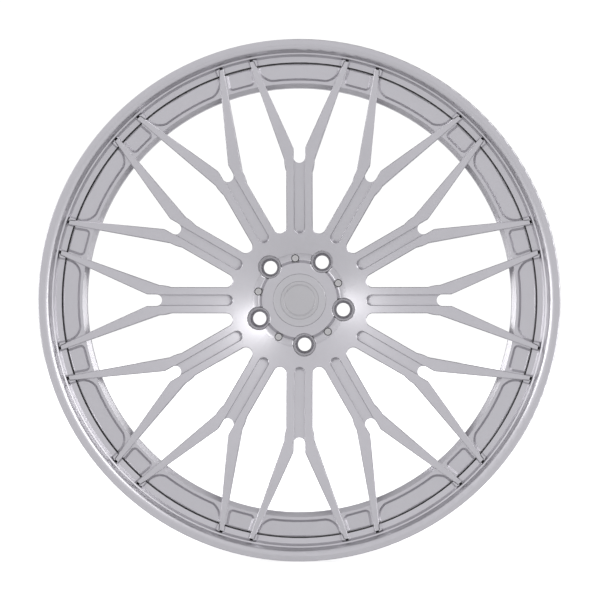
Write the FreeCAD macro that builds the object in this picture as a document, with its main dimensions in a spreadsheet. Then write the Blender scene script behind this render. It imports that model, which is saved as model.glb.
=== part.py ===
"""Three-piece forged racing wheel, built with its axis along Y and its face towards -Y.

Every piece is drawn about its own Z axis and then stood up by WHEEL, a quarter turn about X, so
that a sketch's Z points out of the wheel's face. The origin is the centre of the hub's mounting
face. Sizes are millimetres and degrees, and live in the sheet named sizes.
"""
import FreeCAD, Part
import math
import os
import re

import Sketcher

os.makedirs("parts", exist_ok=True)
doc = FreeCAD.newDocument("wheel")
Vector, Rotation, Placement = FreeCAD.Vector, FreeCAD.Rotation, FreeCAD.Placement
Z_UP = Vector(0, 0, 1)
WHEEL = Placement(Vector(0, 0, 0), Rotation(Vector(1, 0, 0), 90))

# ---------------------------------------------------------------- sizes
SIZES = {
    # rim, overall
    "bead_diameter": 609.6, "rim_width": 254.0, "wheel_offset": 30.0,
    "flange_height": 17.3, "flange_width": 14.5, "flange_fillet": 6.5,
    # centre disc, overall: insets and widths are measured inwards from the bead seat
    "spokes": 12, "disc_depth": 14.0, "disc_inset": 12.5, "disc_clearance": 2.0,
    "register_gap": 0.15, "register_length": 6.0,
    "ring_thickness": 24.0, "ring_width": 28.9, "ring_edge": 5.2, "ring_back_edge": 2.0,
    "land_drop": 3.5, "tip_inset": 4.0, "tip_thickness": 5.2, "cut_past": 25.2,
    # relief pockets in the disc's ring
    "relief_depth": 4.0, "relief_draft": 37.0, "relief_land": 8.7,
    "wide_side": 1.0, "wide_sweep": 18.6, "wide_corner": 21.0, "wide_reach_in": 3.3,
    "narrow_side": 1.5, "narrow_corner": 6.0, "narrow_land": 8.0,
    # hub
    "hub_face": 58.5, "hub_bore": 66.6, "hub_bore_depth": 32.0, "bore_lead": 1.5,
    "pad_diameter": 156.0, "pad_edge": 5.0,
    "dish_start": 58.8, "dish_sink": 3.0, "dish_margin": 29.4,
    "carrier_seat": 44.5, "carrier_gap": 0.15, "cap_bore": 57.0,
    "lugs": 5, "hub_pcd": 112.0, "lug_hole": 17.0, "lug_seat": 23.2, "lug_pocket": 27.6,
    "lug_seat_angle": 30.0, "lug_floor": 19.0, "lug_edge": 1.6, "lug_turn": 30.0,
    "hub_screw_radius": 52.9, "hub_screw_thread": 6.0, "hub_screw_depth": 14.0,
    "screw_turn": 6.0,
    "thread_gap": 0.05,
    # bolts that hold the rim halves and the disc together
    "bolt_inset": 18.8, "bolt_land": 6.0, "bolt_angle": 10.2, "bolt_thread": 7.0,
    "bolt_depth": 12.5,
    # Y spokes
    "trunk_half": 16.3, "window_start": 94.9,
    "fork_outer_at": 167.4, "arm_outer_angle": 19.75, "fork_blend": 45.0,
    "fork_inner_at": 172.9, "arm_inner_angle": 24.5,
    "notch_half": 7.25, "notch_start": 170.5,
    "spoke_back_start": 110.0, "spoke_back_rise": 38.0, "spoke_back_lift": 4.0,
    "groove_half": 6.2, "groove_start": 83.6, "groove_depth": 5.0, "groove_run_out": 5.0,
    "edge_break": 0.8,
    # outer rim half: lip, ledge and milled band, from the bead seat outwards (over) or inwards
    "flange_curl": 9.5, "lip_edge": 1.2, "lip_face_width": 6.3, "lip_roll": 8.0,
    "lip_wall_over": 3.4, "lip_wall_depth": 5.5, "ledge_over": 1.2, "ledge_depth": 11.9,
    "ledge_inset": 0.5, "ledge_edge": 0.4, "ledge_drop": 0.7, "band_top_depth": 13.5,
    "band_inset": 3.2, "band_depth": 19.2,
    "band_rise": 1.3, "cheek_side": 1.9, "cheek_wedge": 6.5, "cheek_draft": 18.0,
    "cheek_root": 0.5, "cheek_over": 6.0,
    "notch_inset": 1.7, "notch_side": 1.0, "notch_lap": 1.0, "notch_depth": 24.5,
    "arm_gap": 0.3,
    "seat_angle": 5.0, "hump_from_flange": 22.0, "hump_inset": 0.5, "hump_fall": 1.4,
    "hump_half": 1.0, "hump_ramp": 3.0,
    # mounting flanges, drop centre and barrel, inwards from the bead seat
    "flange_thickness": 6.0, "joint_inset": 7.8,
    "well_inset": 19.3, "wall": 4.5, "well_start": 55.0, "step_at": 12.0, "step_wall": 6.0,
    "barrel_inset": 1.8, "barrel_run_in": 8.0,
    "back_roll": 7.0, "back_drop": 3.0, "back_lip": 5.5,
    "bolt_hole_gap": 0.2,
    "seal_inset": 14.8, "seal_width": 2.8, "seal_depth": 2.0, "seal_squeeze": 0.1,
    "seal_bevel": 0.5,
    # rim bolts and washers
    "washer_thickness": 1.0, "washer_radius": 5.75, "bolt_flange_radius": 5.4,
    "bolt_flange": 1.6, "bolt_head": 6.5, "bolt_points": 10.0, "bolt_length": 24.0,
    # cap carrier and hub screws
    "carrier_face_radius": 46.9, "carrier_foot_radius": 50.4, "channel_depth": 6.0,
    "channel_floor": 51.8, "cap_head_radius": 33.2, "cap_head_depth": 2.2,
    "snap_groove": 1.2, "snap_groove_at": 49.5, "snap_groove_width": 3.4,
    "screw_head_radius": 4.9, "screw_head": 2.6, "screw_seat": 50.4, "screw_sink_gap": 0.25,
    "screw_socket": 4.0, "screw_socket_depth": 1.5,
    # centre cap
    "cap_gap": 0.2, "cap_edge": 0.7, "cap_skirt_gap": 0.3, "cap_skirt_wall": 1.9,
    "cap_skirt_foot": 44.0, "cap_slot": 4.0, "cap_slots": 6, "cap_wire": 0.8, "cap_wire_at": 46.5,
    "badge_radius": 24.0, "badge_thickness": 1.0,
    # valve
    "valve_inset": 13.2, "valve_hole": 4.15, "valve_shank": 4.1, "valve_head": 5.8,
    "valve_head_thickness": 2.4, "grommet_thickness": 1.8, "valve_length": 27.0,
    "valve_neck": 3.5, "valve_tip": 3.85, "valve_tip_length": 7.0, "valve_bore": 2.6,
    "valve_washer": 1.0, "valve_washer_radius": 5.7, "valve_nut": 10.0, "valve_nut_height": 4.5,
    "valve_cap_radius": 4.8, "valve_cap_wall": 0.85, "valve_cap_top": 2.5,
    "valve_cap_flutes": 12, "flute": 0.45, "gasket": 0.8,
    "core_start": 14.0, "core_length": 8.0, "pin_radius": 0.6, "pin_stand": 0.4,
    "poppet_radius": 1.7, "poppet_height": 1.6, "core_seal": 0.6, "spring_wire": 0.2,
    "spring_radius": 1.1, "spring_turns": 5, "spring_pocket": 4.6,
}
sheet = doc.addObject("Spreadsheet::Sheet", "sizes")
for row, (alias, value) in enumerate(SIZES.items(), start=1):
    sheet.set(f"A{row}", alias)
    sheet.set(f"B{row}", str(value))
    sheet.setAlias(f"B{row}", alias)
doc.recompute()

# Heights and radii that follow from the sizes, as expressions in their names.
LIP = "(rim_width / 2 - wheel_offset + flange_width)"
ARM_FACE = f"({LIP} - disc_depth)"
LAND = f"({ARM_FACE} - land_drop)"
RING_BACK = f"({ARM_FACE} - ring_thickness)"
DISH = "(hub_face - dish_sink)"
HALF_PITCH = "(180 / spokes)"
JOINT = f"({RING_BACK} - flange_thickness)"
BOLT_SEAT = f"({JOINT} - flange_thickness)"
SEAT = "(bead_diameter / 2)"
DISC = f"({SEAT} - disc_inset)"
COUNTERBORE = f"({DISC} + disc_clearance)"
FLANGE_TOP = f"({SEAT} + flange_height)"
REAR = "(0 - rim_width / 2 - wheel_offset)"
BACK = f"({REAR} - flange_width)"
BAND_TOP = f"({LIP} - band_top_depth)"
RING = f"({DISC} - ring_width)"
DISH_END = f"({RING} - dish_margin)"
TIP = f"({SEAT} - tip_inset)"
PAST = f"({SEAT} + cut_past)"
BOLT_CIRCLE = f"({DISC} - bolt_inset)"
FLANGE_BORE = f"({BOLT_CIRCLE} - bolt_land)"
VALVE_CIRCLE = f"({SEAT} - valve_inset)"
DISH_RUN = f"({DISH_END} - dish_start)"
DISH_RISE = f"({ARM_FACE} - {DISH})"
DISH_ARC = f"(({DISH_RUN}^2 + {DISH_RISE}^2) / (2 * {DISH_RISE}))"


# ---------------------------------------------------------------- drawing aids
NEAR = 0.02    # how close counts as touching, when edges are picked
SHORT = 0.5    # an edge with ends nearer than this is not worth breaking
STEEP = 4.0    # an edge that rises more than this runs down a wall, not round a mouth


def bind(text):
    """An expression in the sheet's names, as FreeCAD reads it."""
    return re.sub(r"[a-z]\w*", lambda m: f"sizes.{m[0]}" if m[0] in SIZES else m[0], str(text))


def value(text):
    """The number that an expression stands for."""
    result = sheet.evalExpression(bind(text))
    return float(getattr(result, "Value", result))


def body(name, placement=WHEEL):
    """An empty body of that name."""
    piece = doc.addObject("PartDesign::Body", name)
    piece.Label = name
    piece.Placement = placement
    return piece


def sketch(piece, name, plane="XY_Plane", height="0", turn="0"):
    """A sketch on one of the body's own planes, lifted along Z and turned about it."""
    drawing = piece.newObject("Sketcher::SketchObject", f"{piece.Name}_{name}")
    origin = next(f for f in piece.Origin.OriginFeatures if f.Role == plane)
    drawing.AttachmentSupport = [(origin, "")]
    drawing.MapMode = "FlatFace"
    drawing.setExpression("AttachmentOffset.Base.z", bind(height))
    drawing.setExpression("AttachmentOffset.Rotation.Angle", bind(turn))
    return drawing


def fix(drawing, kind, edge, end, text):
    """Dimensions one coordinate or radius of an edge with an expression."""
    if kind == "Radius":
        index = drawing.addConstraint(Sketcher.Constraint(kind, edge, value(text)))
    elif abs(value(text)) < 1e-9:
        axis = -2 if kind == "DistanceX" else -1
        drawing.addConstraint(Sketcher.Constraint("PointOnObject", edge, end, axis))
        return
    else:
        index = drawing.addConstraint(Sketcher.Constraint(kind, edge, end, value(text)))
    drawing.setExpression(f"Constraints[{index}]", bind(text))


def outline(drawing, corners):
    """A closed outline through corners (x, y). A third entry bends the edge that leaves the
    corner into an arc of that radius, and a minus before it turns the arc to the right."""
    points = [Vector(value(c[0]), value(c[1]), 0) for c in corners]
    edges = []
    for index, corner in enumerate(corners):
        start, end = points[index], points[(index + 1) % len(points)]
        if len(corner) == 2:
            edge = drawing.addGeometry(Part.LineSegment(start, end), False)
            edges.append((edge, 1, 2))
            continue
        radius = value(corner[2])
        chord = end - start
        side = Vector(-chord.y, chord.x, 0).normalize() * math.copysign(1, radius)
        reach = math.sqrt(max(radius ** 2 - (chord.Length / 2) ** 2, 0))
        centre = (start + end) * 0.5 + side * reach
        first, last = (start, end) if radius > 0 else (end, start)
        turn = [math.atan2(p.y - centre.y, p.x - centre.x) for p in (first, last)]
        arc = Part.ArcOfCircle(Part.Circle(centre, Z_UP, abs(radius)), turn[0], turn[1])
        edge = drawing.addGeometry(arc, False)
        edges.append((edge, 1, 2) if radius > 0 else (edge, 2, 1))
    for index, (edge, start, end) in enumerate(edges):
        following = edges[(index + 1) % len(edges)]
        drawing.addConstraint(Sketcher.Constraint("Coincident", edge, end, following[0], following[1]))
    for (edge, start, end), corner in zip(edges, corners):
        fix(drawing, "DistanceX", edge, start, corner[0])
        fix(drawing, "DistanceY", edge, start, corner[1])
        if len(corner) == 3:
            fix(drawing, "Radius", edge, 0, corner[2].lstrip("-"))


def circle(drawing, x, y, radius):
    """A circle whose centre and radius are expressions."""
    ring = Part.Circle(Vector(value(x), value(y), 0), Z_UP, value(radius))
    edge = drawing.addGeometry(ring, False)
    fix(drawing, "DistanceX", edge, 3, x)
    fix(drawing, "DistanceY", edge, 3, y)
    fix(drawing, "Radius", edge, 0, radius)


def polygon(drawing, x, y, across, turn):
    """A regular hexagon given by its centre, its size across flats and its turn."""
    corners = []
    for corner in range(6):
        angle = f"({60 * corner} + {turn})"
        corners.append((f"({x} + {across} / 2 / cos(30) * cos{angle})",
                        f"({y} + {across} / 2 / cos(30) * sin{angle})"))
    outline(drawing, corners)


def spun(piece, name, drawing, kind="Revolution", sector=None):
    """Turns a finished sketch about Z, all the way or through a sector centred on the sketch."""
    feature = piece.newObject(f"PartDesign::{kind}", f"{piece.Name}_{name}")
    feature.Profile = drawing
    feature.Refine = False
    feature.ReferenceAxis = (drawing, ["V_Axis"])
    feature.Angle = 360
    if sector:
        feature.Midplane = True
        feature.setExpression("Angle", bind(sector))
    piece.Tip = feature
    return feature


def turned(piece, name, corners, kind="Revolution"):
    """Turns an outline of (radius, height) corners about Z; kind Groove cuts with it."""
    drawing = sketch(piece, name + "_profile", "XZ_Plane")
    outline(drawing, corners)
    return spun(piece, name, drawing, kind)


def milled(piece, name, drawing, depth=None, kind="Pocket", taper=None, down=False):
    """Cuts a sketch down from its plane, or through everything. Kind Pad adds upwards, or down
    if asked."""
    feature = piece.newObject(f"PartDesign::{kind}", f"{piece.Name}_{name}")
    feature.Profile = drawing
    feature.Refine = False
    if depth is None:
        feature.Type = "ThroughAll"
        feature.Midplane = True
    else:
        feature.setExpression("Length", bind(depth))
    if taper:
        feature.setExpression("TaperAngle", bind(taper))
    feature.Reversed = down
    piece.Tip = feature
    return feature


def around(piece, name, features, count):
    """Repeats features about the wheel's axis, or the whole piece so far where none are given."""
    pattern = piece.newObject("PartDesign::PolarPattern", f"{piece.Name}_{name}")
    if features:
        pattern.Originals = features
    else:
        pattern.TransformMode = "Whole shape"
    pattern.Refine = False
    origin = next(f for f in piece.Origin.OriginFeatures if f.Role == "Z_Axis")
    pattern.Axis = (origin, [""])
    pattern.Angle = 360
    pattern.setExpression("Occurrences", bind(count))
    piece.Tip = pattern
    return pattern


def broken_edges(piece, name, kind, size, wanted):
    """A Chamfer or Fillet on the edges of the piece so far for which wanted(edge) is true."""
    doc.recompute()
    base = piece.Tip
    picked = [f"Edge{i}" for i, edge in enumerate(base.Shape.Edges, start=1) if wanted(edge)]
    if not picked:
        raise RuntimeError(f"{piece.Name}_{name} found no edges")
    feature = piece.newObject(f"PartDesign::{kind}", f"{piece.Name}_{name}")
    feature.Base = (base, picked)
    feature.Refine = False
    feature.setExpression("Size" if kind == "Chamfer" else "Radius", bind(size))
    piece.Tip = feature
    doc.recompute()


def along(edge):
    """The start, middle and end of an edge."""
    first, last = edge.FirstParameter, edge.LastParameter
    return [edge.valueAt(first), edge.valueAt((first + last) / 2), edge.valueAt(last)]


def on_lug_pocket(edge):
    """True for an edge that runs round the mouth of a wheel-bolt pocket."""
    points = along(edge)
    if points[0].distanceToPoint(points[1]) < SHORT or abs(points[1].z - points[0].z) > STEEP:
        return False
    for lug in range(int(value("lugs"))):
        turn = math.radians(90 - value("lug_turn") + 360 * lug / value("lugs"))
        centre = Vector(math.cos(turn), math.sin(turn), 0) * (value("hub_pcd") / 2)
        spread = [math.hypot(p.x - centre.x, p.y - centre.y) for p in points]
        if all(abs(s - value("lug_pocket / 2")) < NEAR for s in spread):
            return True
    return False


# ---------------------------------------------------------------- centre disc
def beside_window(across, along, side):
    """A point given from the next spoke's axis, as seen from the middle of the window."""
    x = f"({side} * ((0 - ({across})) * cos({HALF_PITCH}) + ({along}) * sin({HALF_PITCH})))"
    y = f"(({across}) * sin({HALF_PITCH}) + ({along}) * cos({HALF_PITCH}))"
    return x, y


def window(piece, side):
    """The gap beside a Y spoke: round at the hub, then along both trunks and arms."""
    bend = "(fork_blend * tan(arm_outer_angle / 2))"
    foot = f"(window_start * cos({HALF_PITCH}))"
    knee = f"(fork_outer_at - {bend})"
    elbow = (f"(trunk_half + {bend} * sin(arm_outer_angle))",
             f"(fork_outer_at + {bend} * cos(arm_outer_angle))")
    end = (f"(trunk_half + ({PAST} - fork_outer_at) * tan(arm_outer_angle))", PAST)
    round_end = f"(window_start * sin({HALF_PITCH}) - trunk_half)"
    left = [beside_window(*p, -1) for p in (end, elbow, ("trunk_half", knee), ("trunk_half", foot))]
    right = [beside_window(*p, 1) for p in (("trunk_half", foot), ("trunk_half", knee), elbow, end)]
    left[1] += ("-fork_blend",)
    left[3] += (round_end,)
    right[1] += ("-fork_blend",)
    name = "window_left" if side > 0 else "window_right"
    drawing = sketch(piece, name + "_outline", turn=f"({side} * {HALF_PITCH})")
    outline(drawing, left + right)
    milled(piece, name, drawing)


def fork(piece):
    """The gap between the two arms of a Y spoke, with its round-bottomed notch."""
    tip = f"({PAST} - fork_inner_at)"
    crook = "(fork_inner_at + notch_half / tan(arm_inner_angle))"
    drawing = sketch(piece, "fork_outline")
    outline(drawing, [
        ("0", "notch_start", "notch_half"),
        ("notch_half", "(notch_start + notch_half)"),
        ("notch_half", crook),
        (f"({tip} * tan(arm_inner_angle))", PAST),
        (f"(0 - {tip} * tan(arm_inner_angle))", PAST),
        ("(0 - notch_half)", crook),
        ("(0 - notch_half)", "(notch_start + notch_half)", "notch_half"),
    ])
    milled(piece, "fork", drawing)


def wide_relief(piece):
    """The milled pocket in the ring between the two arms of a Y spoke."""
    edge = f"({RING} + relief_land)"
    corner = f"({DISC} - wide_reach_in)"
    reach = f"(({corner} - fork_inner_at) * tan(arm_inner_angle) - wide_side)"
    half = f"({reach} - wide_sweep)"
    start = f"({edge}^2 - {half}^2)^0.5"
    drawing = sketch(piece, "wide_outline", height=LAND)
    outline(drawing, [
        (f"(0 - {half})", start, f"-{edge}"),
        (half, start, "wide_corner"),
        (reach, corner),
        (reach, COUNTERBORE),
        (f"(0 - {reach})", COUNTERBORE),
        (f"(0 - {reach})", corner, "wide_corner"),
    ])
    return milled(piece, "wide", drawing, "relief_depth", taper="(0 - relief_draft)")


def narrow_relief(piece):
    """The milled pocket in the ring between neighbouring Y spokes."""
    low = f"({RING} + narrow_land)"
    shoulder = f"({low} + narrow_corner)"
    lean = f"tan(arm_outer_angle - {HALF_PITCH})"
    bend = beside_window("trunk_half", "fork_outer_at", 1)

    def half(height):
        """Half the gap between neighbouring arms at that height, less the land left beside it."""
        return f"({bend[0]} - ({height} - {bend[1]}) * {lean} - narrow_side)"

    drawing = sketch(piece, "narrow_outline", height=LAND, turn=HALF_PITCH)
    outline(drawing, [
        (f"(narrow_corner - {half(shoulder)})", low),
        (f"({half(shoulder)} - narrow_corner)", low, "narrow_corner"),
        (half(shoulder), shoulder),
        (half(COUNTERBORE), COUNTERBORE),
        (f"(0 - {half(COUNTERBORE)})", COUNTERBORE),
        (f"(0 - {half(shoulder)})", shoulder, "narrow_corner"),
    ])
    return milled(piece, "narrow", drawing, "relief_depth", taper="(0 - relief_draft)")


def lug_holes(piece):
    """Five wheel-bolt holes: a deep pocket, a cone seat and the hole itself."""
    seat = "((lug_seat - lug_hole) / 2 / tan(lug_seat_angle))"
    cuts = []
    for name, height, radius, depth, taper in (
            ("lug_pocket", LIP, "(lug_pocket / 2)", f"({LIP} - lug_floor)", None),
            ("lug_cone", "lug_floor", "(lug_seat / 2)", seat, "(0 - lug_seat_angle)"),
            ("lug_through", LIP, "(lug_hole / 2)", None, None)):
        drawing = sketch(piece, name + "_outline", height=height, turn="(0 - lug_turn)")
        circle(drawing, "0", "(hub_pcd / 2)", radius)
        cuts.append(milled(piece, name, drawing, depth, taper=taper))
    around(piece, "lug_holes", cuts, "lugs")


def tap_holes(piece):
    """Tapped holes: five in front for the hub screws and a pair behind each arm tip."""
    drawing = sketch(piece, "screw_outline", height="carrier_seat", turn="screw_turn")
    circle(drawing, "0", "hub_screw_radius", "(hub_screw_thread / 2 + thread_gap)")
    screw = milled(piece, "screw_hole", drawing, "hub_screw_depth")
    around(piece, "screw_holes", [screw], "lugs")
    drawing = sketch(piece, "bolt_outline", height=RING_BACK)
    for side in ("", "0 - "):
        circle(drawing, f"({side}{BOLT_CIRCLE} * sin(bolt_angle))",
               f"({BOLT_CIRCLE} * cos(bolt_angle))", "(bolt_thread / 2 + thread_gap)")
    bolt = milled(piece, "bolt_hole", drawing, "bolt_depth")
    bolt.Reversed = True
    around(piece, "bolt_holes", [bolt], "spokes")


def slot(piece):
    """A slot down the front of the trunk, as deep everywhere, that opens into the fork."""
    tool = body("slot_cutter", Placement())
    drawing = sketch(tool, "slot_outline")
    far = "(fork_inner_at + groove_run_out)"
    near = "(groove_start + groove_half)"
    outline(drawing, [
        ("(0 - groove_half)", near, "groove_half"),
        ("0", "groove_start", "groove_half"),
        ("groove_half", near),
        ("groove_half", far),
        ("(0 - groove_half)", far),
    ])
    milled(tool, "slot", drawing, LIP, kind="Pad")
    turned(tool, "floor", [
        ("0", "(0 - groove_depth)"),
        (PAST, "(0 - groove_depth)"),
        (PAST, f"({ARM_FACE} - groove_depth)"),
        (DISH_END, f"({ARM_FACE} - groove_depth)", DISH_ARC),
        ("dish_start", f"({DISH} - groove_depth)"),
        ("0", f"({DISH} - groove_depth)"),
    ], kind="Groove")
    cut = piece.newObject("PartDesign::Boolean", f"{piece.Name}_slot")
    cut.addObject(tool)
    cut.Type = "Cut"
    cut.Refine = False
    piece.Tip = cut


def on_front(edge):
    """True for an edge of the spoke's front face, apart from those that run round the wheel and
    those on the two planes where the spoke meets its neighbours."""
    points = along(edge)
    radii = [math.hypot(p.x, p.y) for p in points]
    if max(radii) - min(radii) < NEAR:
        return False
    if points[0].distanceToPoint(points[2]) < SHORT:
        return False
    half_pitch = math.tan(math.radians(value(HALF_PITCH)))
    if all(abs(abs(p.x) - p.y * half_pitch) < NEAR for p in points):
        return False
    arc, end, face = value(DISH_ARC), value(DISH_END), value(ARM_FACE)
    for point, radius in zip(points, radii):
        inside = max(end - radius, 0)
        if abs(point.z - (face - arc + math.sqrt(arc ** 2 - inside ** 2))) > NEAR:
            return False
    return radii[1] > value("groove_start") - NEAR


def centre_disc():
    """The forged centre: hub pad, twelve Y spokes and the bolted ring. One spoke is made with
    its share of the hub, and repeated."""
    piece = body("centre_disc")
    tongue = f"({ARM_FACE} - tip_thickness)"
    drawing = sketch(piece, "blank_profile", "YZ_Plane")
    outline(drawing, [
        ("hub_bore / 2", "bore_lead"),
        ("(hub_bore / 2 + bore_lead)", "0"),
        ("(pad_diameter / 2)", "0"),
        ("(pad_diameter / 2 + pad_edge)", "pad_edge"),
        ("spoke_back_start", "spoke_back_rise"),
        (RING, RING_BACK),
        (DISC, f"({RING_BACK} + spoke_back_lift)"),
        (DISC, tongue),
        (TIP, tongue),
        (TIP, ARM_FACE),
        (DISH_END, ARM_FACE, DISH_ARC),
        ("dish_start", DISH),
        ("dish_start", "carrier_seat"),
        ("(cap_bore / 2)", "carrier_seat"),
        ("(cap_bore / 2)", "hub_bore_depth"),
        ("(hub_bore / 2)", "hub_bore_depth"),
    ])
    spun(piece, "blank", drawing, sector=f"(2 * {HALF_PITCH})")
    window(piece, 1)
    window(piece, -1)
    fork(piece)
    slot(piece)
    broken_edges(piece, "spoke_edges", "Chamfer", "edge_break", on_front)
    around(piece, "spokes", [], "spokes")
    register = f"({COUNTERBORE} - register_gap)"
    turned(piece, "ring", [
        (RING, f"({RING_BACK} + ring_back_edge)"),
        (f"({RING} + ring_back_edge)", RING_BACK),
        (register, RING_BACK),
        (register, f"({RING_BACK} + register_length)"),
        (DISC, f"({RING_BACK} + register_length)"),
        (DISC, LAND),
        (f"({RING} + ring_edge)", LAND),
        (RING, f"({LAND} - ring_edge)"),
    ])
    around(piece, "wide_reliefs", [wide_relief(piece)], "spokes")
    around(piece, "narrow_reliefs", [narrow_relief(piece)], "spokes")
    lug_holes(piece)
    tap_holes(piece)
    broken_edges(piece, "lug_edges", "Fillet", "lug_edge", lambda edge: (
        on_lug_pocket(edge) and along(edge)[1].z > value(DISH) - NEAR))
    return piece


# ---------------------------------------------------------------- rim halves
def bead_profile(side, flange):
    """The tyre side of one rim edge, from the hump to the flange top. Side is 1 in front and
    -1 at the back, and flange is the height of the flange's inner face."""
    def up(distance):
        return f"({flange} + ({side}) * ({distance}))"
    foot = "(0 - hump_from_flange)"
    hump = f"({SEAT} - hump_inset)"
    inner = "(0 - hump_from_flange + hump_half + hump_ramp)"
    sag = f"((0 - {inner} - flange_fillet) * tan(seat_angle))"
    turn = "" if side == 1 else "-"
    other = "-" if side == 1 else ""
    return [
        (f"({hump} - hump_fall)", up(f"({foot} - hump_half - hump_ramp)")),
        (hump, up(f"({foot} - hump_half)")),
        (hump, up(f"({foot} + hump_half)")),
        (f"({SEAT} - {sag})", up(inner)),
        (SEAT, up("(0 - flange_fillet)"), f"{other}flange_fillet"),
        (f"({SEAT} + flange_fillet)", up("0")),
        (f"({FLANGE_TOP} - flange_curl)", up("0"), f"{turn}flange_curl"),
        (FLANGE_TOP, up("flange_curl")),
    ]


def backwards(corners):
    """The same run of corners from its other end, with its arcs turned to match."""
    run = []
    for index in reversed(range(len(corners))):
        corner = tuple(corners[index][:2])
        radius = corners[index - 1][2] if index and len(corners[index - 1]) == 3 else None
        if radius:
            corner += (radius[1:] if radius.startswith("-") else "-" + radius,)
        run.append(corner)
    return run


def bolt_row(piece, name, height, radius, depth, kind="Pocket", **options):
    """A pair of round holes or bosses for each Y spoke, on the bolt circle."""
    drawing = sketch(piece, name + "_outline", height=height)
    for side in ("", "0 - "):
        circle(drawing, f"({side}{BOLT_CIRCLE} * sin(bolt_angle))",
               f"({BOLT_CIRCLE} * cos(bolt_angle))", radius)
    return milled(piece, name, drawing, depth, kind=kind, **options)


ARM_EDGES = {"outer": ("trunk_half", "fork_outer_at", "arm_outer_angle"),
             "inner": ("0", "fork_inner_at", "arm_inner_angle")}


def arm_corner(across, height, edge):
    """A point on an arm's edge line at that height up the spoke, moved sideways."""
    start, base, angle = ARM_EDGES[edge]
    return f"({start} + ({height} - {base}) * tan({angle}) + ({across}))", height


def reach(across, radius, edge):
    """How far up the spoke an arm's edge line, moved sideways, meets a radius."""
    start, base, angle = ARM_EDGES[edge]
    foot = f"({start} - {base} * tan({angle}) + ({across}))"
    room = f"(({radius}^2 / cos({angle})^2 - {foot}^2)^0.5)"
    return f"(cos({angle})^2 * ({room} - {foot} * tan({angle})))"


def arm_cell(side, low, radius):
    """The outline round an arm's end, that much wider on each side and closed by an arc."""
    inner = f"(0 - {side})"
    return [
        arm_corner(side, low, "outer"),
        arm_corner(side, reach(side, radius, "outer"), "outer") + (radius,),
        arm_corner(inner, reach(inner, radius, "inner"), "inner"),
        arm_corner(inner, low, "inner"),
    ]


def mirrored(corners):
    """The same outline on the spoke's other arm."""
    return [(f"(0 - {c[0]})", c[1]) + tuple(f"-{radius}" for radius in c[2:]) for c in corners]


def arm_pockets(piece, name, cell, floor):
    """Pockets of one outline at every arm's end, from above the band down to a floor."""
    top = f"({BAND_TOP} + ledge_drop + ledge_edge)"
    drawing = sketch(piece, name + "_outline", height=top)
    outline(drawing, cell)
    outline(drawing, mirrored(cell))
    pocket = milled(piece, name, drawing, f"({top} - {floor})")
    around(piece, name + "s", [pocket], "spokes")


def outer_rim_half():
    """The front half of the rim: lip, stepped wall, milled band and mounting flange."""
    piece = body("outer_rim_half")
    front = f"({LIP} - flange_width)"
    turned(piece, "ring", [
        (FLANGE_BORE, RING_BACK),
        (FLANGE_BORE, JOINT),
        (f"({SEAT} - joint_inset)", JOINT),
    ] + bead_profile(1, front) + [
        (FLANGE_TOP, f"({LIP} - lip_edge)", "lip_edge"),
        (f"({FLANGE_TOP} - lip_edge)", LIP),
        (f"({FLANGE_TOP} - lip_face_width)", LIP, "lip_roll"),
        (f"({SEAT} + lip_wall_over)", f"({LIP} - lip_wall_depth)"),
        (f"({SEAT} + ledge_over)", f"({LIP} - ledge_depth)"),
        (f"({SEAT} - ledge_inset)", f"({BAND_TOP} + ledge_drop)"),
        (f"({SEAT} - ledge_inset - ledge_edge)", BAND_TOP),
        (f"({SEAT} - band_inset)", f"({LIP} - band_depth)"),
        (COUNTERBORE, f"({LIP} - band_depth - band_rise)"),
        (COUNTERBORE, RING_BACK),
    ])
    low = f"({reach('0', COUNTERBORE, 'outer')} - cheek_over)"
    high = reach("0", f"({SEAT} - ledge_inset + cheek_root)", "inner")
    cheek = [
        arm_corner("cheek_side", low, "outer"),
        arm_corner("cheek_side", high, "outer"),
        arm_corner("(0 - cheek_wedge)", high, "inner"),
        arm_corner("(0 - cheek_side)", low, "inner"),
    ]
    floor = f"({LIP} - band_depth - band_rise - cheek_root)"
    drawing = sketch(piece, "cheek_outline", height=floor)
    outline(drawing, cheek)
    outline(drawing, mirrored(cheek))
    cheeks = milled(piece, "cheek", drawing, f"({BAND_TOP} - {floor})", kind="Pad",
                    taper="(0 - cheek_draft)")
    around(piece, "cheeks", [cheeks], "spokes")
    turned(piece, "counterbore", [
        (FLANGE_BORE, RING_BACK), (COUNTERBORE, RING_BACK),
        (COUNTERBORE, LIP), (FLANGE_BORE, LIP),
    ], kind="Groove")
    arm_pockets(piece, "arm_slot", arm_cell("arm_gap", low, f"({TIP} + arm_gap)"),
                f"({ARM_FACE} - tip_thickness - arm_gap)")
    behind = reach("0", f"({TIP} - notch_lap)", "outer")
    arm_pockets(piece, "notch", arm_cell("(0 - notch_side)", behind, f"({SEAT} - notch_inset)"),
                f"({LIP} - notch_depth)")
    bolts = bolt_row(piece, "bolt_hole", RING_BACK, "(bolt_thread / 2 + bolt_hole_gap)",
                     "(flange_thickness + 1)")
    around(piece, "bolt_holes", [bolts], "spokes")
    return piece


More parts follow.
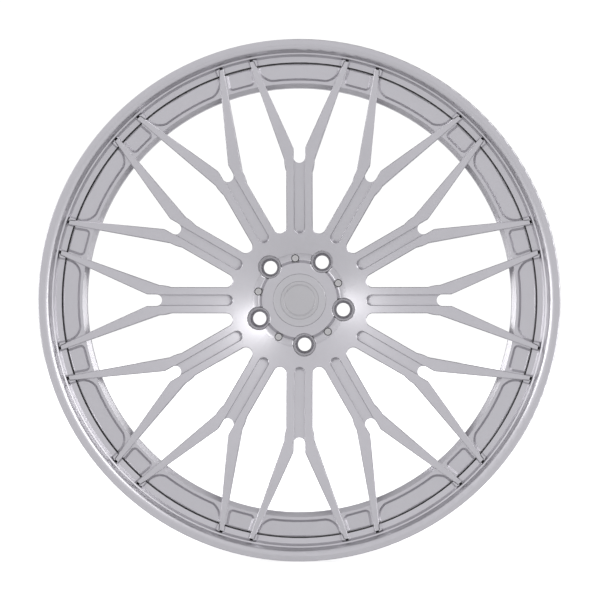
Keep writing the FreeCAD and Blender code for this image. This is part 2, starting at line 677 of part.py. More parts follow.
def inner_rim_half():
    """The rear half of the rim: mounting flange, drop centre, valve step and barrel."""
    piece = body("inner_rim_half")
    well, barrel = f"({SEAT} - well_inset)", f"({SEAT} - barrel_inset)"
    dry_well, dry_barrel = f"({well} - wall)", f"({barrel} - wall)"
    turned(piece, "ring", [
        (FLANGE_BORE, JOINT),
        (FLANGE_BORE, BOLT_SEAT),
        (dry_well, BOLT_SEAT),
        (dry_well, "(step_at - step_wall)"),
        (dry_barrel, "(step_at - step_wall)"),
        (dry_barrel, f"({REAR} + back_roll - back_drop)", "back_roll"),
        (f"({dry_barrel} + back_roll)", f"({REAR} - back_drop)"),
        (f"({FLANGE_TOP} - back_lip)", BACK),
        (f"({FLANGE_TOP} - lip_edge)", BACK, "lip_edge"),
        (FLANGE_TOP, f"({BACK} + lip_edge)"),
    ] + backwards(bead_profile(-1, REAR)) + [
        (barrel, f"({REAR} + hump_from_flange + barrel_run_in)"),
        (barrel, "step_at"),
        (well, "step_at"),
        (well, "well_start"),
        (f"({SEAT} - joint_inset)", JOINT),
    ])
    near, far = f"({SEAT} - seal_inset - seal_width / 2)", f"({SEAT} - seal_inset + seal_width / 2)"
    turned(piece, "seal_groove", [
        (near, JOINT), (near, f"({JOINT} - seal_depth)"),
        (far, f"({JOINT} - seal_depth)"), (far, JOINT),
    ], kind="Groove")
    bolts = bolt_row(piece, "bolt_hole", JOINT, "(bolt_thread / 2 + bolt_hole_gap)",
                     "(flange_thickness + 1)")
    around(piece, "bolt_holes", [bolts], "spokes")
    drawing = sketch(piece, "valve_outline", height="(step_at + 1)")
    circle(drawing, "0", f"(0 - {VALVE_CIRCLE})", "valve_hole")
    milled(piece, "valve_hole", drawing, "(step_wall + 2)")
    return piece


def rim_seal():
    """The sealing ring squeezed between the two rim halves."""
    piece = body("rim_seal")
    half = "(seal_width / 2 - seal_squeeze)"
    inner, outer = f"({SEAT} - seal_inset - {half})", f"({SEAT} - seal_inset + {half})"
    bottom = f"({JOINT} - seal_depth)"
    turned(piece, "ring", [
        (inner, JOINT), (inner, f"({bottom} + seal_bevel)"), (f"({inner} + seal_bevel)", bottom),
        (f"({outer} - seal_bevel)", bottom), (outer, f"({bottom} + seal_bevel)"), (outer, JOINT),
    ])
    return piece


# ---------------------------------------------------------------- rim hardware
def rim_bolts():
    """Flanged twelve-point bolts, put in from behind and screwed into the disc."""
    piece = body("rim_bolts")
    seat = f"({BOLT_SEAT} - washer_thickness)"
    features = [
        bolt_row(piece, "shank", seat, "(bolt_thread / 2)", "bolt_length", kind="Pad"),
        bolt_row(piece, "flange", seat, "bolt_flange_radius", "bolt_flange", kind="Pad", down=True),
    ]
    for name, turn in (("points", "0"), ("points_turned", "30")):
        drawing = sketch(piece, name + "_outline", height=f"({seat} - bolt_flange)")
        for side in ("", "0 - "):
            polygon(drawing, f"({side}{BOLT_CIRCLE} * sin(bolt_angle))",
                    f"({BOLT_CIRCLE} * cos(bolt_angle))", "bolt_points", turn)
        features.append(milled(piece, name, drawing, "bolt_head", kind="Pad", down=True))
    around(piece, "row", features, "spokes")
    return piece


def bolt_washers():
    """A hardened washer under every rim bolt's head."""
    piece = body("bolt_washers")
    height = f"({BOLT_SEAT} - washer_thickness)"
    drawing = sketch(piece, "outline", height=height)
    for side in ("", "0 - "):
        for radius in ("washer_radius", "(bolt_thread / 2 + bolt_hole_gap)"):
            circle(drawing, f"({side}{BOLT_CIRCLE} * sin(bolt_angle))",
                   f"({BOLT_CIRCLE} * cos(bolt_angle))", radius)
    ring = milled(piece, "ring", drawing, "washer_thickness", kind="Pad")
    around(piece, "row", [ring], "spokes")
    return piece


# ---------------------------------------------------------------- hub front
def cap_carrier():
    """The raised centre ring that holds the cap, screwed into the disc's hub."""
    piece = body("cap_carrier")
    rim = "(dish_start - carrier_gap)"
    groove = "(snap_groove_width / 2)"
    turned(piece, "ring", [
        ("(cap_bore / 2)", "carrier_seat"),
        (rim, "carrier_seat"),
        (rim, DISH, "-18"),
        ("channel_floor", "(hub_face - channel_depth)"),
        ("carrier_foot_radius", "(hub_face - channel_depth + 0.6)"),
        ("carrier_face_radius", "hub_face"),
        ("cap_head_radius", "hub_face"),
        ("cap_head_radius", "(hub_face - cap_head_depth)"),
        ("(cap_bore / 2)", "(hub_face - cap_head_depth)"),
        ("(cap_bore / 2)", f"(snap_groove_at + {groove})"),
        ("(cap_bore / 2 + snap_groove)", f"(snap_groove_at + {groove})"),
        ("(cap_bore / 2 + snap_groove)", f"(snap_groove_at - {groove})"),
        ("(cap_bore / 2)", f"(snap_groove_at - {groove})"),
    ])
    drawing = sketch(piece, "lug_outline", turn="(0 - lug_turn)")
    circle(drawing, "0", "(hub_pcd / 2)", "(lug_pocket / 2)")
    cuts = [milled(piece, "lug", drawing)]
    for name, radius, floor in (("screw_hole", "(hub_screw_thread / 2 + screw_sink_gap)", "0"),
                                ("screw_sink", "(screw_head_radius + screw_sink_gap)",
                                 "screw_seat")):
        drawing = sketch(piece, name + "_outline", height="(hub_face + 1)", turn="screw_turn")
        circle(drawing, "0", "hub_screw_radius", radius)
        cuts.append(milled(piece, name, drawing, f"(hub_face + 1 - {floor})"))
    around(piece, "holes", cuts, "lugs")
    broken_edges(piece, "lug_edges", "Fillet", "lug_edge", lambda edge: (
        on_lug_pocket(edge) and along(edge)[1].z > value("carrier_seat") + NEAR))
    return piece


def hub_screws():
    """Five button-head screws in the channel round the centre ring."""
    piece = body("hub_screws")
    features = []
    length = "(screw_seat - carrier_seat + hub_screw_depth - 1)"
    for name, radius, height, depth in (
            ("shank", "(hub_screw_thread / 2)", f"(screw_seat - {length})", length),
            ("head", "screw_head_radius", "screw_seat", "screw_head")):
        drawing = sketch(piece, name + "_outline", height=height, turn="screw_turn")
        circle(drawing, "0", "hub_screw_radius", radius)
        taper = "(0 - 20)" if name == "head" else None
        features.append(milled(piece, name, drawing, depth, kind="Pad", taper=taper))
    drawing = sketch(piece, "socket_outline", height="(screw_seat + screw_head)", turn="screw_turn")
    polygon(drawing, "0", "hub_screw_radius", "screw_socket", "0")
    features.append(milled(piece, "socket", drawing, "screw_socket_depth"))
    around(piece, "row", features, "lugs")
    return piece


def cap_shell():
    """The centre cap: a flat head, a short skirt cut into sprung legs, and a recess."""
    piece = body("cap_shell")
    head = "(cap_head_radius - cap_gap)"
    top, under = "hub_face", "(hub_face - cap_head_depth + 0.05)"
    skirt = "(cap_bore / 2 - cap_skirt_gap)"
    recess = "(hub_face - badge_thickness)"
    turned(piece, "shell", [
        ("0", recess), ("0", under), (f"({skirt} - cap_skirt_wall)", under),
        (f"({skirt} - cap_skirt_wall)", "cap_skirt_foot"),
        (f"({skirt} - 0.6)", "cap_skirt_foot"),
        (skirt, "(cap_skirt_foot + 1.5)"),
        (skirt, under), (head, under), (head, f"({top} - cap_edge)", "cap_edge"),
        (f"({head} - cap_edge)", top), ("badge_radius", top), ("badge_radius", recess),
    ])
    drawing = sketch(piece, "slot_outline", height=f"({under} - 1.5)")
    inner, outer = f"({skirt} - cap_skirt_wall - 1)", f"({skirt} + 0.2)"
    outline(drawing, [
        ("(cap_slot / 2)", inner), ("(cap_slot / 2)", outer),
        ("(0 - cap_slot / 2)", outer), ("(0 - cap_slot / 2)", inner),
    ])
    slot = milled(piece, "slot", drawing, "20")
    around(piece, "slots", [slot], "cap_slots")
    return piece


def cap_wire():
    """The round wire ring that springs the cap's legs outwards."""
    piece = body("cap_wire")
    drawing = sketch(piece, "section", "XZ_Plane")
    circle(drawing, "(cap_bore / 2 - cap_skirt_gap - cap_skirt_wall - cap_wire)",
           "cap_wire_at", "cap_wire")
    spun(piece, "wire", drawing)
    return piece


def cap_badge():
    """A plain turned aluminium disc let into the cap's face."""
    piece = body("cap_badge")
    edge = "(badge_radius - 0.1)"
    turned(piece, "disc", [
        ("0", "(hub_face - badge_thickness)"), (edge, "(hub_face - badge_thickness)"),
        (edge, "(hub_face - 0.3)"), (f"({edge} - 0.3)", "hub_face"),
        (f"({edge} - 4)", "hub_face"), (f"({edge} - 4.4)", "(hub_face - 0.4)"),
        (f"({edge} - 5.2)", "(hub_face - 0.4)"), (f"({edge} - 5.6)", "hub_face"),
        ("0", "hub_face"),
    ])
    return piece


# ---------------------------------------------------------------- valve
# The valve lies behind the ring, parallel to the wheel's axis, with its mouth to the rear. Its
# pieces are drawn from the step wall's rear face, with Z towards the mouth.
def valve_body(name):
    """An empty body that stands on the valve's seat."""
    piece = body(name)
    piece.Placement = Placement(Vector(0, 0, 0), Rotation(Vector(1, 0, 0), -90))
    piece.setExpression(".Placement.Base.z", bind(f"0 - {VALVE_CIRCLE}"))
    piece.setExpression(".Placement.Base.y", bind("step_wall - step_at"))
    return piece


def valve_stem():
    """The valve's metal body: head inside the rim, shank through the wall, threaded mouth."""
    piece = valve_body("valve_stem")
    base = "(0 - step_wall - grommet_thickness)"
    neck = "(valve_length - valve_tip_length)"
    turned(piece, "stem", [
        ("(valve_bore - 0.8)", f"({base} - valve_head_thickness)"),
        ("(valve_head - 0.6)", f"({base} - valve_head_thickness)"),
        ("valve_head", f"({base} - valve_head_thickness + 0.6)"),
        ("valve_head", base), ("valve_shank", base),
        ("valve_shank", "(valve_washer + valve_nut_height + 3)"),
        ("valve_neck", "(valve_washer + valve_nut_height + 4)"),
        ("valve_neck", f"({neck} - 0.5)"), ("valve_tip", neck),
        ("valve_tip", "(valve_length - 0.4)"), ("(valve_tip - 0.4)", "valve_length"),
        ("valve_bore", "valve_length"), ("valve_bore", "(core_start - 3)"),
        ("(valve_bore - 0.8)", "(core_start - 4)"),
    ])
    return piece


def sleeve(piece, name, inner, outer, low, high):
    """A plain ring between two radii and two heights."""
    turned(piece, name, [(inner, low), (outer, low), (outer, high), (inner, high)])
    return piece


def valve_fixings():
    """The grommet inside the wall, and the washer and nut that pull it tight from outside."""
    base = "(0 - step_wall - grommet_thickness)"
    shank = "(valve_shank + 0.05)"
    grommet = sleeve(valve_body("valve_grommet"), "ring", shank, "(valve_head - 0.3)",
                     base, "(0 - step_wall)")
    washer = sleeve(valve_body("valve_washer"), "ring", shank, "valve_washer_radius",
                    "0", "valve_washer")
    nut = valve_body("valve_nut")
    drawing = sketch(nut, "outline", height="valve_washer")
    polygon(drawing, "0", "0", "valve_nut", "0")
    circle(drawing, "0", "0", shank)
    milled(nut, "hexagon", drawing, "valve_nut_height", kind="Pad")
    return [grommet, washer, nut]


def valve_core():
    """The core screwed into the mouth: a barrel, and a sprung pin that pulls a seal against it."""
    barrel = valve_body("core_barrel")
    top, cup = "(core_start + core_length)", "(core_start + core_length - spring_pocket)"
    turned(barrel, "barrel", [
        ("(pin_radius + 0.05)", "core_start"), ("(valve_bore - 0.05)", "core_start"),
        ("(valve_bore - 0.05)", top), ("(spring_radius + spring_wire + 0.2)", top),
        ("(spring_radius + spring_wire + 0.2)", cup), ("(pin_radius + 0.05)", cup),
    ])
    pin = valve_body("core_pin")
    foot = "(core_start - poppet_height)"
    stem_top = "(valve_length - pin_stand)"
    turned(pin, "pin", [
        ("0", foot), ("poppet_radius", foot), ("poppet_radius", "(core_start - core_seal)"),
        ("pin_radius", "(core_start - core_seal)"), ("pin_radius", top),
        ("(spring_radius + spring_wire)", top), ("(spring_radius + spring_wire)", f"({top} + 0.5)"),
        ("pin_radius", f"({top} + 0.5)"), ("pin_radius", f"({stem_top} - 0.3)"),
        ("(pin_radius - 0.3)", stem_top), ("0", stem_top),
    ])
    seal = sleeve(valve_body("core_seal"), "ring", "(pin_radius + 0.02)", "poppet_radius",
                  "(core_start - core_seal)", "(core_start - 0.02)")
    spring = valve_body("core_spring")
    drawing = sketch(spring, "wire", "XZ_Plane")
    circle(drawing, "spring_radius", f"({cup} + spring_wire + 0.02)", "spring_wire")
    coil = spring.newObject("PartDesign::AdditiveHelix", "core_spring_coil")
    coil.Profile = drawing
    coil.ReferenceAxis = (drawing, ["V_Axis"])
    coil.Mode = 1
    coil.setExpression("Height", bind("spring_pocket - 2 * spring_wire - 0.04"))
    coil.setExpression("Turns", bind("spring_turns"))
    coil.setExpression("Pitch", bind("(spring_pocket - 2 * spring_wire - 0.04) / spring_turns"))
    spring.Tip = coil
    return [barrel, pin, seal, spring]


def valve_cap():
    """The fluted dust cap, with a gasket that closes on the valve's mouth."""
    cap = valve_body("valve_cap")
    foot = "(valve_length - valve_tip_length + 0.5)"
    inside = "(valve_length + gasket + 0.05)"
    bore = "(valve_tip + 0.05)"
    turned(cap, "shell", [
        (bore, foot), ("(valve_cap_radius - 0.3)", foot), ("valve_cap_radius", f"({foot} + 0.3)"),
        ("valve_cap_radius", f"({inside} + valve_cap_top - 1)"),
        ("(valve_cap_radius - 1)", f"({inside} + valve_cap_top)"),
        ("0", f"({inside} + valve_cap_top)"), ("0", inside), (bore, inside),
    ])
    drawing = sketch(cap, "flute_outline", height=f"({inside} + valve_cap_top + 1)")
    circle(drawing, "0", "(valve_cap_radius + 0.25)", "flute")
    flute = milled(cap, "flute", drawing, f"({inside} + valve_cap_top - {foot} - 1)")
    around(cap, "flutes", [flute], "valve_cap_flutes")
    gasket = sleeve(valve_body("valve_cap_gasket"), "ring", "1.2", "(valve_tip - 0.05)",
                    "(valve_length + 0.02)", "(valve_length + gasket + 0.02)")
    return [cap, gasket]


# ---------------------------------------------------------------- build and write
PIECES = [
    centre_disc(), outer_rim_half(), inner_rim_half(), rim_seal(), rim_bolts(), bolt_washers(),
    cap_carrier(), hub_screws(), cap_shell(), cap_wire(), cap_badge(), valve_stem(),
    *valve_fixings(), *valve_core(), *valve_cap(),
]
doc.recompute()
for item in doc.Objects:
    if "Invalid" in item.State or "Error" in item.State:
        raise RuntimeError(f"{item.Name} did not build: {item.State}")
for piece in PIECES:
    if piece.Shape.isNull() or not piece.Shape.isValid():
        raise RuntimeError(f"{piece.Label} has no valid shape")
    piece.Shape.exportStep(f"parts/{piece.Label}.step")
    solids = len(piece.Shape.Solids)
    print(f"{piece.Label:20s} {solids:3d} solids {piece.Shape.Volume / 1000:10.3f} cm3")
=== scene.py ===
import math

import bmesh
import bpy
from mathutils import Matrix, Vector


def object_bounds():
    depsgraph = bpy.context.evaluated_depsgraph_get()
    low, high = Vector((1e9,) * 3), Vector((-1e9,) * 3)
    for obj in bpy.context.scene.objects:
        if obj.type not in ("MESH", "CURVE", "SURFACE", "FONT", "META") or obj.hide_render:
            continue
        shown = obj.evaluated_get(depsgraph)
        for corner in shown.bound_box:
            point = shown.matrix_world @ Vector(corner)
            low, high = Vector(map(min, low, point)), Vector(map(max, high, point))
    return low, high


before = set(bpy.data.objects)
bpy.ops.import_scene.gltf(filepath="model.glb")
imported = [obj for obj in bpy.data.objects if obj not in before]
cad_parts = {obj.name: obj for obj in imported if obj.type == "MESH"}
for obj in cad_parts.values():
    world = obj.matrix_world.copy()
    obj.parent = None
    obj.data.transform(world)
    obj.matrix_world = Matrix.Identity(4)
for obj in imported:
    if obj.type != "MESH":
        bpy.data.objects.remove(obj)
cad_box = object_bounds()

scene = bpy.context.scene
scene.view_settings.view_transform = "Standard"

# ------------------------------------------------------------------ camera
# The wheel is seen square on from its face, by a long lens set a little right of and below its
# axis. The lip's front plane fixes the scale of the picture. Lengths are in metres.
LIP_Y = cad_box[0].y
CAMERA_DISTANCE = 3.5
CAMERA_RIGHT = 0.045
CAMERA_DOWN = 0.016
AIM_RIGHT = 0.0012
AIM_UP = 0.0001
FRAME_WIDTH = 0.7392
SENSOR = 0.036
MM_PER_METRE = 1000
aim = Vector((AIM_RIGHT, LIP_Y, AIM_UP))
camera_place = aim + Vector((CAMERA_RIGHT, -CAMERA_DISTANCE, -CAMERA_DOWN))
camera_data = bpy.data.cameras.new("camera")
camera_data.sensor_width = SENSOR * MM_PER_METRE
camera_data.lens = SENSOR * MM_PER_METRE * CAMERA_DISTANCE / FRAME_WIDTH
camera = bpy.data.objects.new("camera", camera_data)
camera.rotation_mode = "QUATERNION"
camera.location = camera_place
camera.rotation_quaternion = (aim - camera_place).to_track_quat("-Z", "Y")
scene.collection.objects.link(camera)
scene.camera = camera


# ------------------------------------------------------------------ node helpers
def shade(tree, kind, **settings):
    """Adds a node. A setting named in0, in1 and so on goes to that input, one that names a
    socket goes to it, linked or as a value, and any other is a property of the node."""
    node = tree.nodes.new(kind)
    for name, given in settings.items():
        if name.startswith("in") and name[2:].isdigit():
            socket = node.inputs[int(name[2:])]
        else:
            socket = node.inputs.get(name.replace("_", " "))
        if socket is None:
            setattr(node, name, given)
        elif isinstance(given, bpy.types.NodeSocket):
            tree.links.new(given, socket)
        else:
            socket.default_value = given
    return node


def maths(tree, operation, *values):
    """The result of a Math node on values or sockets, in the order of its inputs."""
    settings = {f"in{index}": value for index, value in enumerate(values)}
    return shade(tree, "ShaderNodeMath", operation=operation, **settings).outputs[0]


def new_material(name):
    """An empty node material and its tree."""
    material = bpy.data.materials.new(name)
    material.use_nodes = True
    material.node_tree.nodes.clear()
    return material, material.node_tree


# ------------------------------------------------------------------ floor
# A white floor that runs out level under the wheel. What the lens sees of it is lit almost to
# white, while the metal only gets a little grey light back from it.
FLOOR_HALF = 14.0
FLOOR_GAP = 0.002
FLOOR_GREY = (0.55, 0.55, 0.56, 1)
GREY_GLOW = 0.26
FLOOR_WHITE = (0.90, 0.90, 0.90, 1)
WHITE_GLOW = 0.75


def glowing(tree, colour, strength):
    """A dull surface that also gives off white light."""
    dull = shade(tree, "ShaderNodeBsdfDiffuse", Color=colour).outputs[0]
    glow = shade(tree, "ShaderNodeEmission", Strength=strength).outputs[0]
    return shade(tree, "ShaderNodeAddShader", in0=dull, in1=glow).outputs[0]


def floor_paint():
    """White to the lens, and grey to everything else."""
    material, tree = new_material("floor_paint")
    seen = shade(tree, "ShaderNodeLightPath").outputs["Is Camera Ray"]
    grey = glowing(tree, FLOOR_GREY, GREY_GLOW)
    white = glowing(tree, FLOOR_WHITE, WHITE_GLOW)
    mixed = shade(tree, "ShaderNodeMixShader", in0=seen, in1=grey, in2=white).outputs[0]
    shade(tree, "ShaderNodeOutputMaterial", Surface=mixed)
    return material


floor_mesh = bmesh.new()
bmesh.ops.create_grid(floor_mesh, x_segments=1, y_segments=1, size=FLOOR_HALF,
                      matrix=Matrix.Translation((0, 0, cad_box[0].z - FLOOR_GAP)))
floor_data = bpy.data.meshes.new("floor")
floor_mesh.to_mesh(floor_data)
floor_mesh.free()
floor = bpy.data.objects.new("floor", floor_data)
scene.collection.objects.link(floor)
floor_data.materials.append(floor_paint())

# ------------------------------------------------------------------ lights
# Soft light from all round, brighter from above, from the sides and from the front, and four
# tall softboxes, two on each side, that draw the bright and dark sides of every spoke.
SKY_LEVEL = 0.64
SKY_ABOVE = 0.18
SKY_SIDES = 0.50
SKY_FRONT = 0.25
SKY_TINT = (0.97, 0.965, 1.0, 1)
BACKDROP_LEVEL = 1.05
SOFTBOX_DISTANCE = 3.0


def studio_sky():
    """Light by direction for the metal, and plain white behind it for the lens."""
    world = bpy.data.worlds.new("studio")
    world.use_nodes = True
    tree = world.node_tree
    tree.nodes.clear()
    direction = shade(tree, "ShaderNodeTexCoord").outputs["Generated"]
    parts = shade(tree, "ShaderNodeSeparateXYZ", Vector=direction).outputs
    sideways = maths(tree, "MULTIPLY", parts["X"], parts["X"])
    upright = maths(tree, "MULTIPLY", parts["Z"], parts["Z"])
    above = maths(tree, "MULTIPLY", upright, parts["Z"])
    forward = maths(tree, "MULTIPLY", parts["Y"], -1.0)
    ahead = maths(tree, "MAXIMUM", forward, 0.0)
    level = maths(tree, "MULTIPLY_ADD", above, SKY_ABOVE, SKY_LEVEL)
    level = maths(tree, "MULTIPLY_ADD", sideways, SKY_SIDES, level)
    level = maths(tree, "MULTIPLY_ADD", ahead, SKY_FRONT, level)
    lit = shade(tree, "ShaderNodeBackground", Color=SKY_TINT, Strength=level).outputs[0]
    shown = shade(tree, "ShaderNodeBackground", Color=(1, 1, 1, 1),
                  Strength=BACKDROP_LEVEL).outputs[0]
    seen = shade(tree, "ShaderNodeLightPath").outputs["Is Camera Ray"]
    both = shade(tree, "ShaderNodeMixShader", in0=seen, in1=lit, in2=shown).outputs[0]
    shade(tree, "ShaderNodeOutputWorld", Surface=both)
    return world


def softbox(name, azimuth, elevation, width, height, power):
    """An area light that faces the hub. Azimuth 0 is at the lens, and 90 to the right."""
    light = bpy.data.lights.new(name, "AREA")
    light.shape = "RECTANGLE"
    light.size = width
    light.size_y = height
    light.energy = power
    lamp = bpy.data.objects.new(name, light)
    turn = math.radians(azimuth)
    rise = math.radians(elevation)
    away = Vector((math.sin(turn) * math.cos(rise), -math.cos(turn) * math.cos(rise),
                   math.sin(rise)))
    lamp.location = away * SOFTBOX_DISTANCE
    lamp.rotation_mode = "QUATERNION"
    lamp.rotation_quaternion = (-away).to_track_quat("-Z", "Y")
    scene.collection.objects.link(lamp)


scene.world = studio_sky()
softbox("right_softbox", azimuth=55, elevation=28, width=1.0, height=1.8, power=16)
softbox("left_softbox", azimuth=-54, elevation=-6, width=1.2, height=2.0, power=8)
softbox("right_strip", azimuth=72, elevation=6, width=0.6, height=2.2, power=14)
softbox("left_strip", azimuth=-73, elevation=2, width=0.6, height=2.2, power=22)


# ------------------------------------------------------------------ shared finishes
def new_group(name, inputs, outputs):
    """An empty shader group, and its inputs, each given with its default value."""
    group = bpy.data.node_groups.new(name, "ShaderNodeTree")
    for label, default in inputs:
        kind = "NodeSocketColor" if isinstance(default, tuple) else "NodeSocketFloat"
        socket = group.interface.new_socket(label, in_out="INPUT", socket_type=kind)
        socket.default_value = default
    for label, kind in outputs:
        group.interface.new_socket(label, in_out="OUTPUT", socket_type=kind)
    given = group.nodes.new("NodeGroupInput").outputs
    return group, given


FINISH_OUTPUTS = [("Colour", "NodeSocketColor"), ("Roughness", "NodeSocketFloat"),
                  ("Normal", "NodeSocketVector")]
PLAIN_SILVER = (0.6, 0.6, 0.62, 1)


def blasted_grain():
    """Fine grain and slow clouds: outputs a colour, a roughness and a normal."""
    group, given = new_group(
        "blasted_grain",
        [("Colour", PLAIN_SILVER), ("Roughness", 0.4), ("Spread", 0.05),
         ("Grain Size", 0.0008), ("Grain Depth", 0.00002), ("Cloud", 0.05)],
        FINISH_OUTPUTS)
    place = shade(group, "ShaderNodeTexCoord").outputs["Object"]
    pitch = maths(group, "DIVIDE", 1.0, given["Grain Size"])
    grain = shade(group, "ShaderNodeTexNoise", Vector=place, Scale=pitch, Detail=3.0,
                  Roughness=0.6).outputs["Fac"]
    cloud = shade(group, "ShaderNodeTexNoise", Vector=place, Scale=70.0, Detail=4.0,
                  Roughness=0.65).outputs["Fac"]
    bump = shade(group, "ShaderNodeBump", Strength=1.0, Height=grain,
                 Distance=given["Grain Depth"])
    centred = maths(group, "SUBTRACT", cloud, 0.5)
    drift = maths(group, "MULTIPLY_ADD", centred, given["Cloud"], 1.0)
    tint = shade(group, "ShaderNodeVectorMath", operation="SCALE", in0=given["Colour"],
                 Scale=drift)
    rough = maths(group, "MULTIPLY_ADD", grain, given["Spread"], given["Roughness"])
    shade(group, "NodeGroupOutput", Colour=tint.outputs[0], Roughness=rough,
          Normal=bump.outputs[0])
    return group


def about_axis(group):
    """Where a point is on the wheel: its place, its depth along the axis, and its radius."""
    place = shade(group, "ShaderNodeTexCoord").outputs["Object"]
    parts = shade(group, "ShaderNodeSeparateXYZ", Vector=place).outputs
    flat = shade(group, "ShaderNodeCombineXYZ", X=parts["X"], Z=parts["Z"])
    radius = shade(group, "ShaderNodeVectorMath", operation="LENGTH", in0=flat.outputs[0])
    return place, parts["Y"], radius.outputs["Value"]


def turned_rings():
    """Rings about the wheel's axis, by radius and depth: outputs a colour, a roughness and a
    normal."""
    group, given = new_group(
        "turned_rings",
        [("Colour", PLAIN_SILVER), ("Roughness", 0.4), ("Spread", 0.06),
         ("Pitch", 0.0006), ("Depth", 0.000004)],
        FINISH_OUTPUTS)
    place, depth, radius = about_axis(group)
    travel = maths(group, "ADD", radius, depth)
    count = maths(group, "DIVIDE", travel, given["Pitch"])
    line = shade(group, "ShaderNodeCombineXYZ", X=count)
    rings = shade(group, "ShaderNodeTexNoise", Vector=line.outputs[0], Scale=1.0, Detail=2.0,
                  Roughness=0.7).outputs["Fac"]
    cloud = shade(group, "ShaderNodeTexNoise", Vector=place, Scale=40.0, Detail=3.0,
                  Roughness=0.6).outputs["Fac"]
    bump = shade(group, "ShaderNodeBump", Strength=1.0, Height=rings, Distance=given["Depth"])
    rough = maths(group, "MULTIPLY_ADD", rings, given["Spread"], given["Roughness"])
    drift = shade(group, "ShaderNodeMapRange", Value=cloud, To_Min=0.97, To_Max=1.03)
    tint = shade(group, "ShaderNodeVectorMath", operation="SCALE", in0=given["Colour"],
                 Scale=drift.outputs[0])
    shade(group, "NodeGroupOutput", Colour=tint.outputs[0], Roughness=rough,
          Normal=bump.outputs[0])
    return group


BLASTED = blasted_grain()
TURNED = turned_rings()
ALLOY_CLOUD = 0.06


def principled(tree, base, colour, metallic):
    """A Principled surface with a colour, and the roughness and normal of a group."""
    surface = shade(tree, "ShaderNodeBsdfPrincipled", Base_Color=colour, Metallic=metallic,
                    Roughness=base.outputs["Roughness"], Normal=base.outputs["Normal"])
    shade(tree, "ShaderNodeOutputMaterial", Surface=surface.outputs[0])


def blasted_alloy(name, colour, roughness):
    """Bead blasted and clear coated metal."""
    material, tree = new_material(name)
    base = shade(tree, "ShaderNodeGroup", node_tree=BLASTED)
    base.inputs["Colour"].default_value = colour
    base.inputs["Roughness"].default_value = roughness
    base.inputs["Cloud"].default_value = ALLOY_CLOUD
    principled(tree, base, base.outputs["Colour"], metallic=1.0)
    return material


def turned_metal(name, colour, roughness, pitch, depth, mask=None):
    """Metal with turning marks about the wheel's axis. A mask paints shade into it where it lies
    deep.
    """
    material, tree = new_material(name)
    base = shade(tree, "ShaderNodeGroup", node_tree=TURNED)
    base.inputs["Colour"].default_value = colour
    base.inputs["Roughness"].default_value = roughness
    base.inputs["Pitch"].default_value = pitch
    base.inputs["Depth"].default_value = depth
    tint = base.outputs["Colour"]
    if mask:
        clear = shade(tree, "ShaderNodeGroup", node_tree=mask).outputs["Clear"]
        tint = shade(tree, "ShaderNodeVectorMath", operation="SCALE", in0=tint,
                     Scale=clear).outputs[0]
    principled(tree, base, tint, metallic=1.0)
    return material


def rubber(name, colour, roughness):
    """Moulded black rubber."""
    material, tree = new_material(name)
    base = shade(tree, "ShaderNodeGroup", node_tree=BLASTED)
    base.inputs["Colour"].default_value = colour
    base.inputs["Roughness"].default_value = roughness
    principled(tree, base, base.outputs["Colour"], metallic=0.0)
    return material


def dress(node, material):
    """Puts a finish on a CAD piece."""
    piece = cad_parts[node]
    piece.data.materials.clear()
    piece.data.materials.append(material)


# ------------------------------------------------------------------ centre disc
# Forged and milled aluminium, bead blasted and clear coated to a satin silver. The blasting
# leaves a very fine even grain, with softer clouds where the coat lies thicker.
SILVER = (0.585, 0.576, 0.598, 1)
SATIN = 0.30
dress("centre_disc", blasted_alloy("satin_silver_disc", SILVER, SATIN))

# ------------------------------------------------------------------ rim halves
# Spun and turned aluminium with the same silver coat. The cutter leaves shallow rings about the
# wheel's axis under the coat. Painted shade darkens the narrow recesses of the joint in front,
# where they are deep: it lies between two radii from the axis and two depths along it.
RECESS_SHADE_INNER = 0.2938
RECESS_SHADE_OUTER = 0.3036
RECESS_SHADE_FRONT = -0.0911
RECESS_SHADE_BACK = -0.0737
RECESS_SHADE_DARKNESS = 0.97


def sealed_recesses():
    """A mask that is close to 0 where shade is painted into the deep recesses, and 1 elsewhere.
    """
    group, _ = new_group("sealed_recesses", [], [("Clear", "NodeSocketFloat")])
    _, depth, radius = about_axis(group)
    across = maths(group, "MULTIPLY", maths(group, "GREATER_THAN", radius, RECESS_SHADE_INNER),
                   maths(group, "LESS_THAN", radius, RECESS_SHADE_OUTER))
    along = maths(group, "MULTIPLY", maths(group, "GREATER_THAN", depth, RECESS_SHADE_FRONT),
                  maths(group, "LESS_THAN", depth, RECESS_SHADE_BACK))
    inside = maths(group, "MULTIPLY", across, along)
    # Painted shade: the colour is darkened inside the deep recesses of the joint.
    clear = maths(group, "MULTIPLY_ADD", inside, -RECESS_SHADE_DARKNESS, 1.0)
    shade(group, "NodeGroupOutput", Clear=clear)
    return group
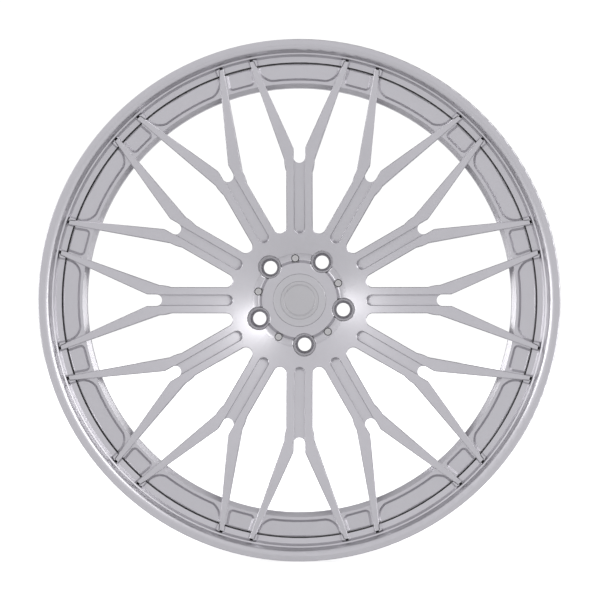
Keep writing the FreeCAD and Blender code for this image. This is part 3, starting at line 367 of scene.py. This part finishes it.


# The lip's mask paints shade into the deep recesses of the joint.
dress("outer_rim_half", turned_metal("satin_silver_lip", SILVER, SATIN, pitch=0.0006,
                                     depth=0.000003, mask=sealed_recesses()))
dress("inner_rim_half", turned_metal("spun_silver_barrel", (0.56, 0.555, 0.58, 1), 0.42,
                                     pitch=0.0015, depth=0.00001))

# ------------------------------------------------------------------ hub front and cap
# The centre ring has the disc's finish. The cap is turned from bar, a touch warmer and darker.
CAP_PITCH = 0.0005
CAP_DEPTH = 0.000003
dress("cap_carrier", blasted_alloy("satin_silver_carrier", SILVER, SATIN))
dress("cap_shell", turned_metal("cap_silver", (0.56, 0.555, 0.57, 1), 0.36, CAP_PITCH, CAP_DEPTH))
dress("cap_badge", turned_metal("badge_silver", (0.54, 0.535, 0.545, 1), 0.34, CAP_PITCH,
                                CAP_DEPTH))
dress("hub_screws", blasted_alloy("screw_steel", (0.58, 0.575, 0.57, 1), 0.3))
dress("cap_wire", blasted_alloy("spring_steel", (0.45, 0.45, 0.46, 1), 0.3))

# ------------------------------------------------------------------ rim bolts, washers, valve
# Zinc plated bolts and washers behind the disc's ring, and the clamped valve with its brass
# core, dark dust cap and rubber seals.
dress("rim_bolts", blasted_alloy("bolt_steel", (0.50, 0.50, 0.52, 1), 0.32))
dress("bolt_washers", blasted_alloy("washer_steel", (0.55, 0.55, 0.56, 1), 0.36))
valve_nickel = blasted_alloy("valve_nickel", (0.52, 0.51, 0.50, 1), 0.28)
for node in ("valve_stem", "valve_washer", "valve_nut"):
    dress(node, valve_nickel)
dress("valve_cap", blasted_alloy("cap_anodised", (0.16, 0.16, 0.17, 1), 0.35))
core_brass = blasted_alloy("core_brass", (0.70, 0.50, 0.22, 1), 0.3)
for node in ("core_barrel", "core_pin"):
    dress(node, core_brass)
dress("core_spring", blasted_alloy("core_spring_steel", (0.5, 0.5, 0.5, 1), 0.3))
seal_rubber = rubber("seal_rubber", (0.02, 0.02, 0.02, 1), 0.6)
for node in ("rim_seal", "valve_grommet", "core_seal", "valve_cap_gasket"):
    dress(node, seal_rubber)
